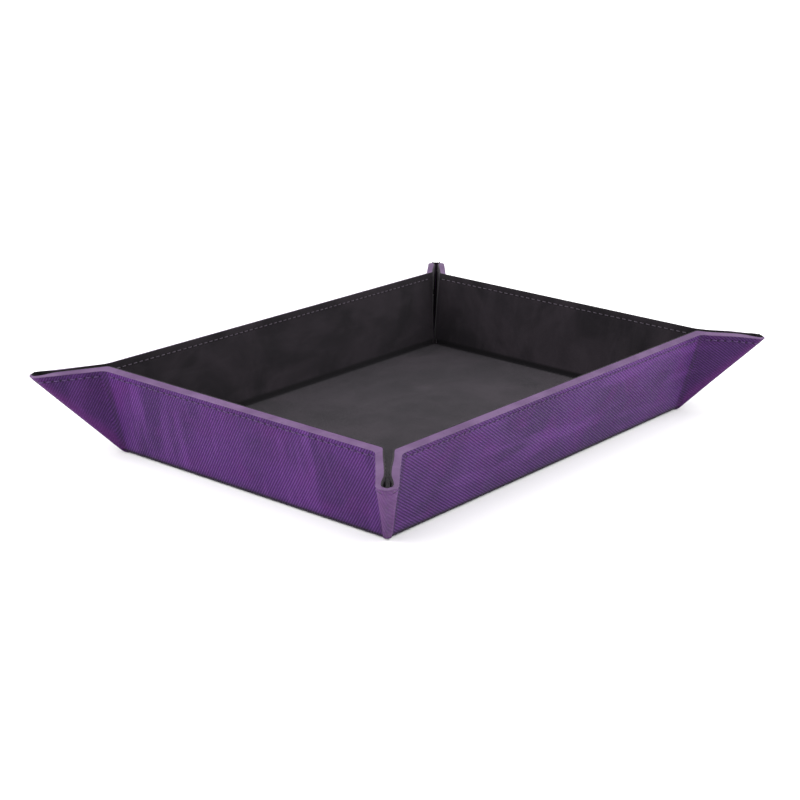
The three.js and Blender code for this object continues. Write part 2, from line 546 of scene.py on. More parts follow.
def tube_ring(name, grids, material):
    """A bar swept along columns, closed round its section and at both ends. grids is section by column."""
    points = grids.reshape(-1, 3)
    faces = tube_faces(*grids.shape[:2])
    return mesh_object(name, points, faces, points[:, :2], no_rim(points), material)


# ---- materials

class Look:
    """A material's nodes, written one line each."""

    def __init__(self, name):
        self.material = bpy.data.materials.new(name)
        self.material.use_nodes = True
        self.tree = self.material.node_tree
        self.shader = self.tree.nodes["Principled BSDF"]

    def put(self, kind, inputs=(), **settings):
        node = self.tree.nodes.new("ShaderNode" + kind)
        for key, value in settings.items():
            setattr(node, key, value)
        for key, value in dict(inputs).items():
            self.set(node, key, value)
        return node

    def set(self, node, key, value):
        if isinstance(value, bpy.types.NodeSocket):
            self.tree.links.new(value, node.inputs[key])
        else:
            node.inputs[key].default_value = value

    def math(self, operation, a, b=0.0, c=0.0):
        return self.put("Math", {0: a, 1: b, 2: c}, operation=operation).outputs[0]

    def times(self, a, b):
        return self.math("MULTIPLY", a, b)

    def scaled(self, value, factor, offset):
        return self.math("MULTIPLY_ADD", value, factor, offset)

    def most(self, a, b):
        return self.math("MAXIMUM", a, b)

    def noise(self, vector, scale, detail=3.0, roughness=0.5, distortion=0.0):
        inputs = {"Vector": vector, "Scale": scale, "Detail": detail, "Roughness": roughness,
                  "Distortion": distortion}
        return self.put("TexNoise", inputs).outputs[0]

    def ramp(self, value, low, high, out_low=0.0, out_high=1.0):
        inputs = {"Value": value, "From Min": low, "From Max": high, "To Min": out_low, "To Max": out_high}
        return self.put("MapRange", inputs, interpolation_type="SMOOTHSTEP").outputs[0]

    def mix(self, share, a, b):
        """Colour a to b. Inputs 0, 6 and 7 and output 2 are the ones for colours."""
        node = self.put("Mix", data_type="RGBA")
        for key, value in ((0, share), (6, a), (7, b)):
            self.set(node, key, value)
        return node.outputs[2]

    def map(self, name):
        return self.put("UVMap", uv_map=name).outputs[0]

    def place(self):
        return self.put("TexCoord").outputs["Object"]

    def bump(self, height, distance, strength=1.0, under=None):
        inputs = {"Height": height, "Distance": distance, "Strength": strength}
        if under is not None:
            inputs["Normal"] = under
        return self.put("Bump", inputs).outputs[0]

    def split(self, vector):
        return self.put("SeparateXYZ", {0: vector}).outputs[:2]

    def turned(self, vector, angle, scale=(1.0, 1.0, 1.0)):
        """The pattern map turned so that its x runs along angle."""
        inputs = {"Vector": vector, "Rotation": (0, 0, -angle), "Scale": scale}
        return self.put("Mapping", inputs, vector_type="POINT").outputs[0]

    def finish(self, color, roughness, normal, **constants):
        self.set(self.shader, "Base Color", color)
        self.set(self.shader, "Roughness", roughness)
        self.set(self.shader, "Normal", normal)
        for key, value in constants.items():
            self.shader.inputs[key.replace("_", " ")].default_value = value
        return self.material


def rgb(red, green, blue):
    """A colour from its 0 to 255 sRGB values."""
    linear = [v / 255 / 12.92 if v <= 10 else ((v / 255 + 0.055) / 1.055) ** 2.4 for v in (red, green, blue)]
    return (*linear, 1.0)


def stitch_marks(look):
    """(needle holes, pressed line) along the row of stitches, from the rim map."""
    index, below = look.split(look.map("rim"))
    from_line = look.math("SUBTRACT", below, STITCH_FROM_RIM)
    beside = look.times(look.math("PINGPONG", index, 0.5), STITCH_PITCH)
    squares = look.scaled(from_line, from_line, look.times(beside, beside))
    reach = look.math("SQRT", squares)
    hole = look.ramp(reach, 0.3, 0.75, 1, 0)
    pressed = look.ramp(look.math("ABSOLUTE", from_line), 0.2, 1.6, 1, 0)
    return hole, pressed


class Folds:
    """Where a point of the flat sheet is among the folds of the tray, as shares from 0 to 1."""

    def __init__(self, look):
        east, north = look.split(look.map("flat"))
        from_end = look.math("SUBTRACT", look.math("ABSOLUTE", east), (HALF_LENGTH - SETBACK) * MM)
        from_side = look.math("SUBTRACT", look.math("ABSOLUTE", north), (HALF_WIDTH - SETBACK) * MM)
        spread = SLOPE - ROOT2 * (WIDTH_AT_RIM - WIDTH_AT_BASE) / WALL_HEIGHT  # of a valley, for each mm up
        start = (ROOT2 * WIDTH_AT_BASE - SETBACK * (1 + spread)) * MM
        past_long = look.math("ADD", look.scaled(from_side, -spread, from_end), start)
        past_short = look.math("ADD", look.scaled(from_end, -spread, from_side), start)
        inner_of_two = look.math("MINIMUM", from_end, from_side)
        off_diagonal = look.math("ABSOLUTE", look.math("SUBTRACT", from_end, from_side))
        self.past_base = look.most(from_end, from_side)
        self.valley = look.most(
            self.beside(look, past_long, from_side),
            self.beside(look, past_short, from_end),
        )
        self.ear = look.ramp(look.math("MINIMUM", past_long, past_short), -0.8 * MM, 2.2 * MM)
        self.ridge = look.times(
            look.ramp(off_diagonal, 1 * MM, 8 * MM, 1, 0),
            look.ramp(inner_of_two, -4 * MM, 1 * MM),
        )

    def beside(self, look, past, up):
        near = look.ramp(look.math("ABSOLUTE", past), 0.3 * MM, 2.6 * MM, 1, 0)
        return look.times(near, look.ramp(up, 0, 2 * MM))

    def near_base(self, look, full, none, middle=0.0):
        """1 within full of a line that runs middle outside the base creases, and 0 beyond none."""
        off_line = look.math("ABSOLUTE", look.math("SUBTRACT", self.past_base, middle * MM))
        return look.ramp(off_line, full * MM, none * MM, 1, 0)


def ribbed_leather():
    look = Look("ribbed_synthetic_leather")
    flat = look.map("flat")
    wander = look.noise(flat, 90, 2)
    _, across = look.split(look.turned(flat, RIB_DIRECTION))
    phase = look.scaled(across, 2 * math.pi / (RIB_PITCH * MM), look.times(wander, 2.0))
    wave = look.scaled(look.math("SINE", phase), 0.5, 0.5)
    strands = look.noise(look.turned(flat, RIB_DIRECTION, (700, 2200, 1)), 1, 2)
    grain = look.noise(flat, 2400, 3, 0.6)
    clouds = look.noise(flat, 20, 4, 0.55, 0.5)
    patches = look.noise(flat, 60, 3, 0.6, 0.4)
    streaks = look.noise(look.turned(flat, RIB_DIRECTION + math.pi / 2, (14, 85, 1)), 1, 3, 0.55)
    deep = look.mix(look.ramp(clouds, 0.36, 0.64), rgb(50, 19, 73), rgb(67, 27, 92))
    warm = look.mix(look.ramp(patches, 0.45, 0.75, 0, 0.6), deep, rgb(75, 25, 91))
    light = look.mix(look.ramp(streaks, 0.46, 0.7, 0, 0.6), warm, rgb(93, 46, 120))
    folds = Folds(look)
    worn = look.times(folds.ridge, 0.7)
    light = look.mix(worn, light, rgb(72, 21, 80))
    # Painted shade: the rib grooves are darkened towards near black, besides their bump.
    groove_shade = look.times(look.ramp(wave, 0.05, 0.5, 0.62, 0), look.math("SUBTRACT", 1.0, folds.ridge))
    groove_shaded = look.mix(groove_shade, light, rgb(23, 5, 37))
    # Painted highlight: the rib crests are lightened, broken up by the strands.
    crest = look.times(look.ramp(wave, 0.7, 1.0), look.ramp(strands, 0.4, 0.65, 0.05, 0.5))
    highlit_and_specked = look.mix(crest, groove_shaded, rgb(107, 60, 132))
    specks = look.noise(flat, 1300, 2)
    highlit_and_specked = look.mix(look.ramp(specks, 0.5, 0.72, 0, 0.4), highlit_and_specked, rgb(30, 9, 47))
    # Painted shade: the ear faces darker than the walls (less on the worn ridge), with darker bands along the
    # base creases and the wall-to-ear valleys.
    shade = look.times(folds.ear, look.math("SUBTRACT", 0.3, look.times(worn, 0.3)))
    crease_shade = look.most(look.times(folds.near_base(look, 0.4, 3.0), 0.3), look.times(folds.valley, 0.5))
    fold_shaded = look.mix(look.most(shade, crease_shade), highlit_and_specked, rgb(22, 7, 34))
    # Painted shade: a near-black line along the outer base edge.
    fold_shaded = look.mix(look.times(folds.near_base(look, 0.1, 0.7), 0.8), fold_shaded, rgb(8, 3, 12))
    hole, pressed = stitch_marks(look)
    color = look.mix(look.times(hole, 0.75), fold_shaded, rgb(13, 4, 21))
    ribs = look.times(wave, look.scaled(folds.ridge, -0.7, 1.0))
    height = look.scaled(strands, 0.3, ribs)
    height = look.scaled(grain, 0.25, height)
    normal = look.bump(height, 0.00017, 1.0)
    dents = look.scaled(hole, -1.0, look.times(pressed, -0.35))
    normal = look.bump(dents, 0.0003, 0.8, normal)
    roughness = look.scaled(patches, 0.2, 0.46)
    return look.finish(color, roughness, normal, Specular_IOR_Level=0.16)


def velvet():
    look = Look("short_pile_velvet")
    flat = look.map("flat")
    clouds = look.noise(flat, 26, 4, 0.6, 0.8)
    brushed = look.noise(look.turned(flat, math.radians(20), (40, 110, 1)), 1, 3, 0.6, 0.5)
    pile = look.noise(flat, 2600, 3, 0.7)
    smoke = look.mix(look.ramp(clouds, 0.35, 0.68), rgb(18, 15, 19), rgb(34, 29, 34))
    brush = look.mix(look.ramp(brushed, 0.45, 0.72, 0, 0.3), smoke, rgb(43, 38, 43))
    color = look.mix(look.ramp(pile, 0.4, 0.7, 0, 0.35), brush, rgb(12, 10, 13))
    folds = Folds(look)
    # Painted shade: the velvet darker along the inner base creases, inside the ear folds and in the
    # wall-to-ear valleys.
    foot = folds.near_base(look, 1.0, 2.7, SETBACK + 0.9)
    velvet_fold_shade = look.most(foot, look.times(folds.ridge, 0.5))
    velvet_fold_shade = look.most(velvet_fold_shade, look.times(folds.valley, 0.3))
    color = look.mix(look.times(velvet_fold_shade, 0.95), color, rgb(3, 2, 4))
    hole, pressed = stitch_marks(look)
    color = look.mix(look.times(hole, 0.7), color, rgb(5, 4, 5))
    height = look.scaled(pile, 0.6, look.times(pressed, -0.6))
    normal = look.bump(height, 0.0003, 0.7)
    return look.finish(color, look.scaled(pile, 0.1, 0.88), normal,
                       Specular_IOR_Level=0.12, Sheen_Weight=0.2, Sheen_Roughness=0.45,
                       Sheen_Tint=(0.5, 0.47, 0.52, 1.0))


def edge_paint():
    look = Look("painted_edge")
    place = look.place()
    clouds = look.noise(place, 60, 3)
    coat = look.noise(place, 420, 3, 0.6)
    base = look.mix(look.ramp(clouds, 0.35, 0.65), rgb(78, 56, 88), rgb(91, 69, 101))
    color = look.mix(look.ramp(coat, 0.55, 0.75, 0, 0.3), base, rgb(65, 46, 75))
    normal = look.bump(coat, 0.00012, 0.6)
    return look.finish(color, look.scaled(coat, 0.2, 0.45), normal, Specular_IOR_Level=0.2)


def thread(name, dark, light):
    look = Look(name)
    along, around = look.split(look.map("rim"))
    twist = look.math("SINE", look.scaled(along, 26.0, look.times(around, 2 * math.pi)))
    fuzz = look.noise(look.place(), 5000, 2)
    color = look.mix(look.scaled(twist, 0.4, 0.5), dark, light)
    height = look.scaled(fuzz, 0.3, twist)
    normal = look.bump(height, 0.00008, 0.8)
    return look.finish(color, look.scaled(fuzz, 0.2, 0.45), normal, Specular_IOR_Level=0.35)


def greyboard():
    look = Look("greyboard")
    place = look.place()
    fibres = look.noise(look.turned(place, 0.4, (400, 1500, 900)), 1, 3, 0.6)
    specks = look.noise(place, 1500, 2)
    color = look.mix(fibres, rgb(126, 116, 100), rgb(158, 148, 132))
    color = look.mix(look.ramp(specks, 0.62, 0.74, 0, 0.6), color, rgb(84, 76, 66))
    return look.finish(color, look.scaled(fibres, 0.1, 0.85), look.bump(fibres, 0.0001, 0.6))


def nickel():
    look = Look("nickel_plate")
    place = look.place()
    haze = look.noise(place, 500, 3)
    marks = look.noise(look.turned(place, 0.9, (300, 4000, 300)), 1, 2)
    color = look.mix(look.ramp(haze, 0.4, 0.7), rgb(196, 198, 200), rgb(172, 172, 170))
    roughness = look.scaled(marks, 0.25, 0.15)
    return look.finish(color, roughness, look.bump(marks, 0.00002, 0.5), Metallic=1.0)


LEATHER = ribbed_leather()
VELVET = velvet()
PAINT = edge_paint()
THREADS = {
    "outside": thread("purple_thread", rgb(47, 22, 64), rgb(80, 49, 103)),
    "inside": thread("grey_purple_thread", rgb(34, 29, 37), rgb(70, 60, 73)),
}
BOARD = greyboard()
NICKEL = nickel()


# ---- placing pieces on their bodies

# For each piece of an ear: a distance from the middle of the ear, where an anchor is placed, and the shares
# of its height off that in upright and leaning ears, which are not used.
EAR_LEVELS = {
    "cover": (WIDTH_AT_RIM, 0.05, 0.05),
    "lining": (1.5, 0.05, 0.05),
    "fold": (1.62, 0.05, 0.05),
    "edge": (THICKNESS / 2 + 1.5, 0.75, 0.2),
    "board": (3.4, 0.35, 0.15),
    "magnet": (3.3, 0.4, 0.15),
    "outside": (5.5, 0.12, 0.04),
    "inside": (1.25, 0.12, 0.04),
}
EAR_MIDDLE = 20.0  # up the wall


def settle(piece, body, nodes=()):
    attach(piece, body)
    if nodes:
        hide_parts(*nodes)


def flatten(piece, axis, anchor):
    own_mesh(piece)


def settle_on_ear(piece, corner, half, level, nodes=()):
    """Settle a piece on an ear half."""
    settle(piece, ear_body(corner, half), nodes)
    p, upright, leaning = EAR_LEVELS[level]
    anchor = to_tray(corner, half, np.array([0.0, p, EAR_MIDDLE]))
    flatten(piece, across_axis(corner, half), anchor)


# The stitches of each wall and ear half are counted from the first soft crease to the next.

class Row:
    """A row of stitches: where it starts along the rim, its pitch, and how many it has."""

    def __init__(self, start, end):
        self.start = start
        self.count = max(1, round((end - start) / STITCH_PITCH))
        self.pitch = (end - start) / self.count

    def index(self, along):
        return (np.asarray(along) - self.start) / self.pitch

    def middles(self):
        return [self.start + (k + 0.5) * self.pitch for k in range(self.count)]


def rim_map(row, along, below):
    along, below = np.broadcast_arrays(row.index(along), below)
    return np.stack([along, below], axis=-1)


def along_wall(wall, points):
    return points[..., 0 if is_long(wall) else 1]


def wall_row(wall):
    half_length = wall_distance("left" if is_long(wall) else "front")
    reach = half_length - ROOT2 * WIDTH_AT_RIM + WALL_HEIGHT * SLOPE - CREASE_REACH + ROW_OVER_CREASE
    return Row(-reach, reach)


WALL_ROWS = {wall: wall_row(wall) for wall in WALLS}
EAR_ROW = Row(2.2, 30.5)  # along an ear's top edge, from its valley


def ear_along(points):
    """How far a point of an ear half is from the valley's rim end, along the top edge."""
    east, up = top_direction()
    return (points[..., 0] - TOP.points[0][0]) * east + (points[..., 2] - TOP.points[0][1]) * up


# ---- rim

WALL_UP = np.array([SLOPE / ROOT2, SLOPE / ROOT2, RISE])
# Section of the painted edge: distance in from the outer face, and above the rim.
EDGE_SECTION = [
    (-0.05, -0.30), (-0.05, -0.12), (0.08, 0.02), (0.40, 0.10), (1.00, 0.14), (1.80, 0.14), (2.60, 0.20),
    (3.12, 0.36), (3.15, -0.80),
]


def up_vectors(ear):
    """Unit vectors up and away from an ear's top edge at each of its columns."""
    step = np.gradient(ear[:, [0, 2]], axis=0)
    step /= np.maximum(np.linalg.norm(step, axis=1, keepdims=True), 1e-9)
    return np.stack([-step[:, 1], np.zeros(len(step)), step[:, 0]], axis=1)


def turning_up(edge_up):
    """(wall columns, ear columns) of up vectors, turned from the wall's to the ear's over the crease."""
    top = edge_up[-(EAR_FLAT_STEPS + EAR_NOSE_STEPS + 1):]
    share = smoothstep(np.linspace(0, 1, 2 * CREASE_STEPS + 1))[:, None]
    bend = (1 - share) * WALL_UP + share * top[0]
    bend /= np.linalg.norm(bend, axis=1, keepdims=True)
    return bend[: CREASE_STEPS + 1], np.concatenate([bend[CREASE_STEPS:-1], top])


def make_rim(corner):
    """The outer and inner rim lines of a corner's long half with their up vectors, wall part and ear part."""
    outer = ear_outer_row(WALL_HEIGHT, CREASE_REACH)
    inner = ear_inner_row(RIM, corner)
    east, up = top_direction()
    level = np.tile([-up, 0.0, east], (len(inner[1]), 1))
    return outer, inner, turning_up(up_vectors(outer[1])), turning_up(level)


RIMS = {corner: make_rim(corner) for corner in CORNERS}


def rim_line(part, across, above, corner="back_left"):
    """Points of the rim in a corner's long half: part 0 is on the wall and 1 on the ear. across is the
    distance in from the outer face, above the distance up from the rim."""
    share = across / THICKNESS
    outer, inner, outer_up, inner_up = RIMS[corner]
    outside = outer[part] + above * outer_up[part]
    inside = inner[part] + above * inner_up[part]
    return (1 - share) * outside + share * inside


def wall_line(wall, part):
    """A line of points along a wall between two corners, given its part at a corner, from the middle of
    the crease to the wall."""
    first, second = WALLS[wall]
    half = half_of(wall)
    start = to_tray(first, half, part[::-1])
    end = to_tray(second, half, part)
    share = np.linspace(0, 1, WALL_STEPS + 1)[1:-1, None]
    return np.concatenate([start, start[-1] + share * (end[0] - start[-1]), end])


def painted_edge(body, place, part, corner="back_left"):
    """The painted edge of one body. place puts a line of the rim on the tray."""
    grid = np.array([place(rim_line(part, across, above, corner)) for across, above in EDGE_SECTION])
    return tube_ring(f"{body}_edge_paint", grid, PAINT)


def add_edges():
    for wall in WALLS:
        body = f"{wall}_wall"
        edge = painted_edge(body, lambda line: wall_line(wall, line), 0)
        settle(edge, body, [f"{body}_edge"])
    for corner, half in EARS:
        body = ear_body(corner, half)
        edge = painted_edge(body, lambda line: to_tray(corner, half, line), 1, corner)
        settle_on_ear(edge, corner, half, "edge", [f"{body}_edge"])


# ---- base creases and floor

def strip_rows(tangent, last):
    """Rows of a base crease: on the floor, round the bend, and on the wall."""
    return [-STRIP_EDGE] + [tangent * k / ARC_STEPS for k in range(ARC_STEPS + 1)] + [last]


def add_base_strip(wall, grid, out, slot, material, facing):
    """The strip round a wall's base edge, made from a grid of its points, whose rows lie at distances out in
    the flat sheet. Its thickness is on the inside of the bend if facing is 1, and else outside."""
    outward = OUTWARD[wall]
    toward = facing * (Vector((0, 0, 1)) - outward)
    flat = flat_of_wall(wall, grid, np.array(out)[:, None])
    strip = sheet(f"{wall}_base_crease_{slot}", grid, toward, material, flat)
    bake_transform(strip)


def add_corner_patch(corner, rows, name, material, facing, level, thickness):
    """The rounded patch between two base creases."""
    x, y = corner_signs(corner)
    grid = np.array([both_halves(corner, row) for row in rows])
    toward = facing * Vector((-x, -y, 1))
    patch = sheet(f"{corner}_corner_{name}", grid, toward, material, thickness=thickness)
    settle(patch, "floor")
    flatten(patch, (0, 0, 1), (x * HALF_LENGTH, y * HALF_WIDTH, level))


def add_floor(name, row, thickness, material, slot):
    """The flat sheet under or on the floor, out to the strips and corner patches. row is a corner's."""
    outline = []
    for corner in ("front_left", "front_right", "back_right", "back_left"):
        turn = both_halves(corner, row, -1)
        outline.append(turn if corner in ("front_left", "back_right") else turn[::-1])
    outline = np.concatenate(outline)
    points = np.concatenate([outline, outline + np.array([0, 0, thickness])])
    count = len(outline)
    faces = [list(range(count)), [count + k for k in reversed(range(count))]]
    for k in range(count):
        n = (k + 1) % count
        faces.append([n, k, count + k, count + n])
    made = mesh_object(name, points, faces, points[:, :2], no_rim(points), material)
    settle(made, "floor", [f"floor_{slot}"])


# ---- outer cover

COVER_BELOW_RIM = 0.2
COVER_STRIP_ROWS = strip_rows(OUTER_TANGENT, EAR_ROWS[0])
WALL_COVER_ROWS = [EAR_ROWS[0], 12, 20, 28, 36, WALL_HEIGHT - COVER_BELOW_RIM]
CREASE_ROWS = [1.2, 1.8, OUTER_TANGENT] + EAR_ROWS[:-1] + [39.4, WALL_HEIGHT - 0.25]
CREASE_SKIN = 0.3
CREASE_FROM_STITCHES = 9.0  # the soft crease stays this far from the stitches on the rim map


def valley_point(r):
    width = taper(WIDTH_AT_BASE, WIDTH_AT_RIM, level_of(r))
    u, z = valley(r, width)
    return np.array([u, width, z])


def wall_grid(wall, rows):
    """A grid on a wall's outer face, between the valleys at its two corners."""
    return np.array([wall_line(wall, [valley_point(r)]) for r in rows])


def wall_maps(wall, grid, levels, below):
    """The flat and rim maps of a grid on a wall, with its rows' levels up the wall."""
    flat = flat_of_wall(wall, grid, levels - 2 * SETBACK)
    return flat, rim_map(WALL_ROWS[wall], along_wall(wall, grid), below)


def add_cover():
    for wall in WALLS:
        grid = wall_grid(wall, COVER_STRIP_ROWS)
        out = [outer_flat(r) for r in COVER_STRIP_ROWS]
        add_base_strip(wall, grid, out, "cover", LEATHER, 1)
        grid = wall_grid(wall, WALL_COVER_ROWS)
        levels = np.array(WALL_COVER_ROWS)[:, None]
        flat, rim = wall_maps(wall, grid, levels, WALL_HEIGHT - levels)
        cover = sheet(f"{wall}_wall_leather", grid, -OUTWARD[wall], LEATHER, flat, rim)
        settle(cover, f"{wall}_wall", [f"{wall}_wall_cover"])
    for corner in CORNERS:
        for half in (1, -1):
            add_ear_cover(corner, half)
            add_soft_crease(corner, half)
        rows = [ear_outer_row(r) for r in COVER_STRIP_ROWS]
        add_corner_patch(corner, rows, "leather", LEATHER, 1, SKIN, SKIN)
    add_floor("floor_leather", ear_outer_row(-STRIP_EDGE), SKIN, LEATHER, "cover")


def add_ear_cover(corner, half):
    body = ear_body(corner, half)
    top = ear_outer_row(WALL_HEIGHT)
    local = [ear_outer_row(r) for r in EAR_ROWS] + [top - COVER_BELOW_RIM * up_vectors(top)]
    local = np.array(local)
    below = np.array([WALL_HEIGHT - r for r in EAR_ROWS] + [COVER_BELOW_RIM])[:, None]
    flat = flat_of_ear(corner, half, local)
    rim = rim_map(EAR_ROW, ear_along(local), below)
    grid = to_tray(corner, half, local)
    cover = sheet(f"{body}_leather", grid, -across_axis(corner, half), LEATHER, flat, rim)
    settle_on_ear(cover, corner, half, "cover", [f"{body}_cover"])


def add_soft_crease(corner, half):
    """The rounded valley between a wall and its ear half, laid over the sharp one."""
    wall = wall_of(corner, half)
    local = []
    for r in CREASE_ROWS:
        wall_part, ear_part = ear_outer_row(r, CREASE_REACH)
        local.append(np.concatenate([wall_part, ear_part[1: CREASE_STEPS + 1]]))
    grid = to_tray(corner, half, np.array(local))
    levels = np.array(CREASE_ROWS)[:, None]
    flat, rim = wall_maps(wall, grid, levels, np.maximum(WALL_HEIGHT - levels, CREASE_FROM_STITCHES))
    outward = OUTWARD[wall]
    name = f"{ear_body(corner, half)}_crease_leather"
    crease = sheet(name, grid, -outward, LEATHER, flat, rim, CREASE_SKIN)
    settle(crease, f"{wall}_wall")
    normal = outward * RISE - Vector((0, 0, SLOPE))
    flatten(crease, normal, to_tray(corner, half, valley_point(EAR_MIDDLE)))


# ---- lining

# Over the rim: how far above it, and how far in from the outer face the lining's face and back are.
LINING_TOP = [
    (-1.0, THICKNESS, 3.1), (-0.4, THICKNESS, 3.1), (0.1, 3.78, 3.1), (0.32, 3.66, 3.15), (0.42, 3.5, 3.3),
]
LINING_STRIP_ROWS = strip_rows(INNER_TANGENT, INNER_TANGENT + 1.0)
LINING_ROWS = [LINING_STRIP_ROWS[-1], 5, 9, 13, 17, 21, 25, 29, 32, 35]
LINING_LEVELS = [r + 2 * SETBACK for r in LINING_ROWS] + [WALL_HEIGHT + above for above, _, _ in LINING_TOP]
LINING_LEVELS = np.array(LINING_LEVELS)[:, None]
PATCH_SKIN = 0.4
FLAP_SKIN = 0.25
FLAP_BEHIND_GAP = 0.5
FLAP_OFF_MIDDLE = 0.45


def lining_grids(place, part, toward, corner="back_left"):
    """The lines at its corner of a lining panel, which place puts on the tray, and its face and back: its
    rows, and then its rim, which stands above the paint."""
    rows = [ear_inner_row(r, corner)[part] for r in LINING_ROWS]
    lines = rows + [rim_line(part, face_at, above, corner) for above, face_at, _ in LINING_TOP]
    face = np.array([place(line) for line in lines])
    back = face[: len(rows)] + SKIN * grid_normals(face[: len(rows)], toward)
    top = [place(rim_line(part, back_at, above, corner)) for above, _, back_at in LINING_TOP]
    return np.array(lines), face, np.concatenate([back, top])


def add_lining():
    below = WALL_HEIGHT - LINING_LEVELS
    for wall in WALLS:
        grid = np.array([wall_line(wall, ear_inner_row(r)[0]) for r in LINING_STRIP_ROWS])
        add_base_strip(wall, grid, LINING_STRIP_ROWS, "lining", VELVET, -1)
        _, face, back = lining_grids(lambda line: wall_line(wall, line), 0, OUTWARD[wall])
        flat, rim = wall_maps(wall, face, LINING_LEVELS, below)
        lining = shell(f"{wall}_wall_velvet", face, back, VELVET, flat, rim)
        settle(lining, f"{wall}_wall", [f"{wall}_wall_lining"])
    for corner in CORNERS:
        for half in (1, -1):
            body = ear_body(corner, half)
            axis = across_axis(corner, half)
            local, face, back = lining_grids(lambda line: to_tray(corner, half, line), 1, axis, corner)
            rim = rim_map(EAR_ROW, ear_along(local), below)
            lining = shell(f"{body}_velvet", face, back, VELVET, flat_of_ear(corner, half, local), rim)
            settle_on_ear(lining, corner, half, "lining", [f"{body}_lining"])
            add_fold_velvet(corner, half)
        rows = [ear_inner_row(r, corner)[1] for r in LINING_STRIP_ROWS]
        add_corner_patch(corner, rows, "velvet", VELVET, -1, THICKNESS - 0.3, PATCH_SKIN)
    wall_part, ear_part = ear_inner_row(-STRIP_EDGE)
    row = np.concatenate([wall_part[:-1], ear_part])
    add_floor("floor_velvet", row, -SKIN, VELVET, "lining")


def add_fold_velvet(corner, half):
    """The part of the lining that is tucked inside an ear's fold, and shows when the tray lies flat."""
    ridge_from, ridge_to = 1.0, RIDGE.length[-1] - 0.7
    off_ridge, past_lining = 0.3, 1.5
    share = np.linspace(0, 1, 15)
    base_inward, base_height = inner_profile(0)
    base = np.array([-ROOT2 * base_inward, base_height])
    inner = base + share[:, None] * (INNER_TIP - base)
    outer = RIDGE.at(ridge_from + share * (ridge_to - ridge_from))
    away = inner - outer
    away /= np.linalg.norm(away, axis=1, keepdims=True)
    outer = outer + off_ridge * away
    inner = inner + past_lining * away
    gap = taper(GAP_AT_BASE, GAP_AT_RIM, share)
    local = []
    for across in np.linspace(0, 1, 7):
        place = inner + across * (outer - inner)
        p = taper(gap + FLAP_BEHIND_GAP, FLAP_OFF_MIDDLE, across)
        local.append(np.stack([place[:, 0], p, place[:, 1]], axis=1))
    grid = to_tray(corner, half, np.array(local).transpose(1, 0, 2))
    name = f"{ear_body(corner, half)}_fold_velvet"
    flap = sheet(name, grid, across_axis(corner, half), VELVET, thickness=FLAP_SKIN)
    settle_on_ear(flap, corner, half, "fold")


# ---- boards and magnets of the ears

BOARD_ROWS = [13, 18, 23, 28, 33, 38]
BOARD_COLUMNS = [3, 5, 7, 9, 11, 13]
BOARD_COVERED = 1.0
BOARD_LEAST = 0.4
MAGNET_RADIUS = 5.0
MAGNET_DEPTH = 1.4
MAGNET_COVERED = 1.45  # from the outer face to the magnet's middle


def add_stiffener(corner, half):
    body = ear_body(corner, half)
    outer = np.array([ear_outer_row(r)[BOARD_COLUMNS] for r in BOARD_ROWS])
    inner = outer.copy()
    for row, r in zip(inner, BOARD_ROWS):
        row[:, 1] = taper(GAP_AT_BASE, GAP_AT_RIM, level_of(r)) + BOARD_COVERED
    outer[..., 1] = np.maximum(outer[..., 1] - BOARD_COVERED, inner[..., 1] + BOARD_LEAST)
    face, back = to_tray(corner, half, outer), to_tray(corner, half, inner)
    board = shell(f"{body}_stiffener", face, back, BOARD)
    settle_on_ear(board, corner, half, "board", [f"{body}_board"])


def add_magnet(corner, half):
    """A bevelled disc where the frame has it, tilted with the tapered ear."""
    body = ear_body(corner, half)
    low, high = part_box(f"{body}_magnet")
    centre = (low + high) / 2 / MM
    x, y = corner_signs(corner)
    u = (x * centre.x - HALF_LENGTH + y * centre.y - HALF_WIDTH) / ROOT2
    p = taper(WIDTH_AT_BASE, WIDTH_AT_TIP, centre.z / RISE / WALL_HEIGHT) - MAGNET_COVERED
    middle = Vector(to_tray(corner, half, np.array([u, p, centre.z])))
    work = bmesh.new()
    bmesh.ops.create_cone(
        work, cap_ends=True, segments=40, radius1=MAGNET_RADIUS, radius2=MAGNET_RADIUS, depth=MAGNET_DEPTH
    )
    rings = [e for e in work.edges if abs(e.verts[0].co.z - e.verts[1].co.z) < 1e-6]
    bmesh.ops.bevel(work, geom=rings, offset=0.2, segments=2, affect="EDGES")
    for face in work.faces:
        face.smooth = len(face.verts) < 10
    lean = (WIDTH_AT_TIP - WIDTH_AT_BASE) / WALL_HEIGHT
    tilted = across_axis(corner, half) + Vector((0, 0, -lean))
    turn = tilted.to_track_quat("Z", "Y").to_matrix().to_4x4()
    work.transform(Matrix.Scale(MM, 4) @ Matrix.Translation(middle) @ turn)
    disc = add_mesh(f"{body}_magnet_disc", work, NICKEL)
    settle_on_ear(disc, corner, half, "magnet", [f"{body}_magnet"])


# ---- stitching

STITCH_ALONG = np.linspace(0, 1, 9)
STITCH_ROUND = np.arange(8) / 8


def unit(v):
    return np.array(v, float) / np.linalg.norm(v)


def stitch_points(centre, along, up):
    """Points round and along one stitch: a thread that comes out of the sheet, lies on it and goes in."""
    side = np.cross(up, along)
    t = STITCH_ALONG[:, None]
    swell = np.sin(math.pi * t)
    middle = centre + along * STITCH_LENGTH * (t - 0.5) + up * STITCH_RADIUS * (1.5 * swell ** 0.6 - 1.05)
    radius = STITCH_RADIUS * (0.75 + 0.25 * swell)
    turns = 2 * math.pi * STITCH_ROUND
    return [
        point
        for turn in turns
        for point in middle + radius * (math.cos(turn) * side + 0.85 * math.sin(turn) * up)
    ]


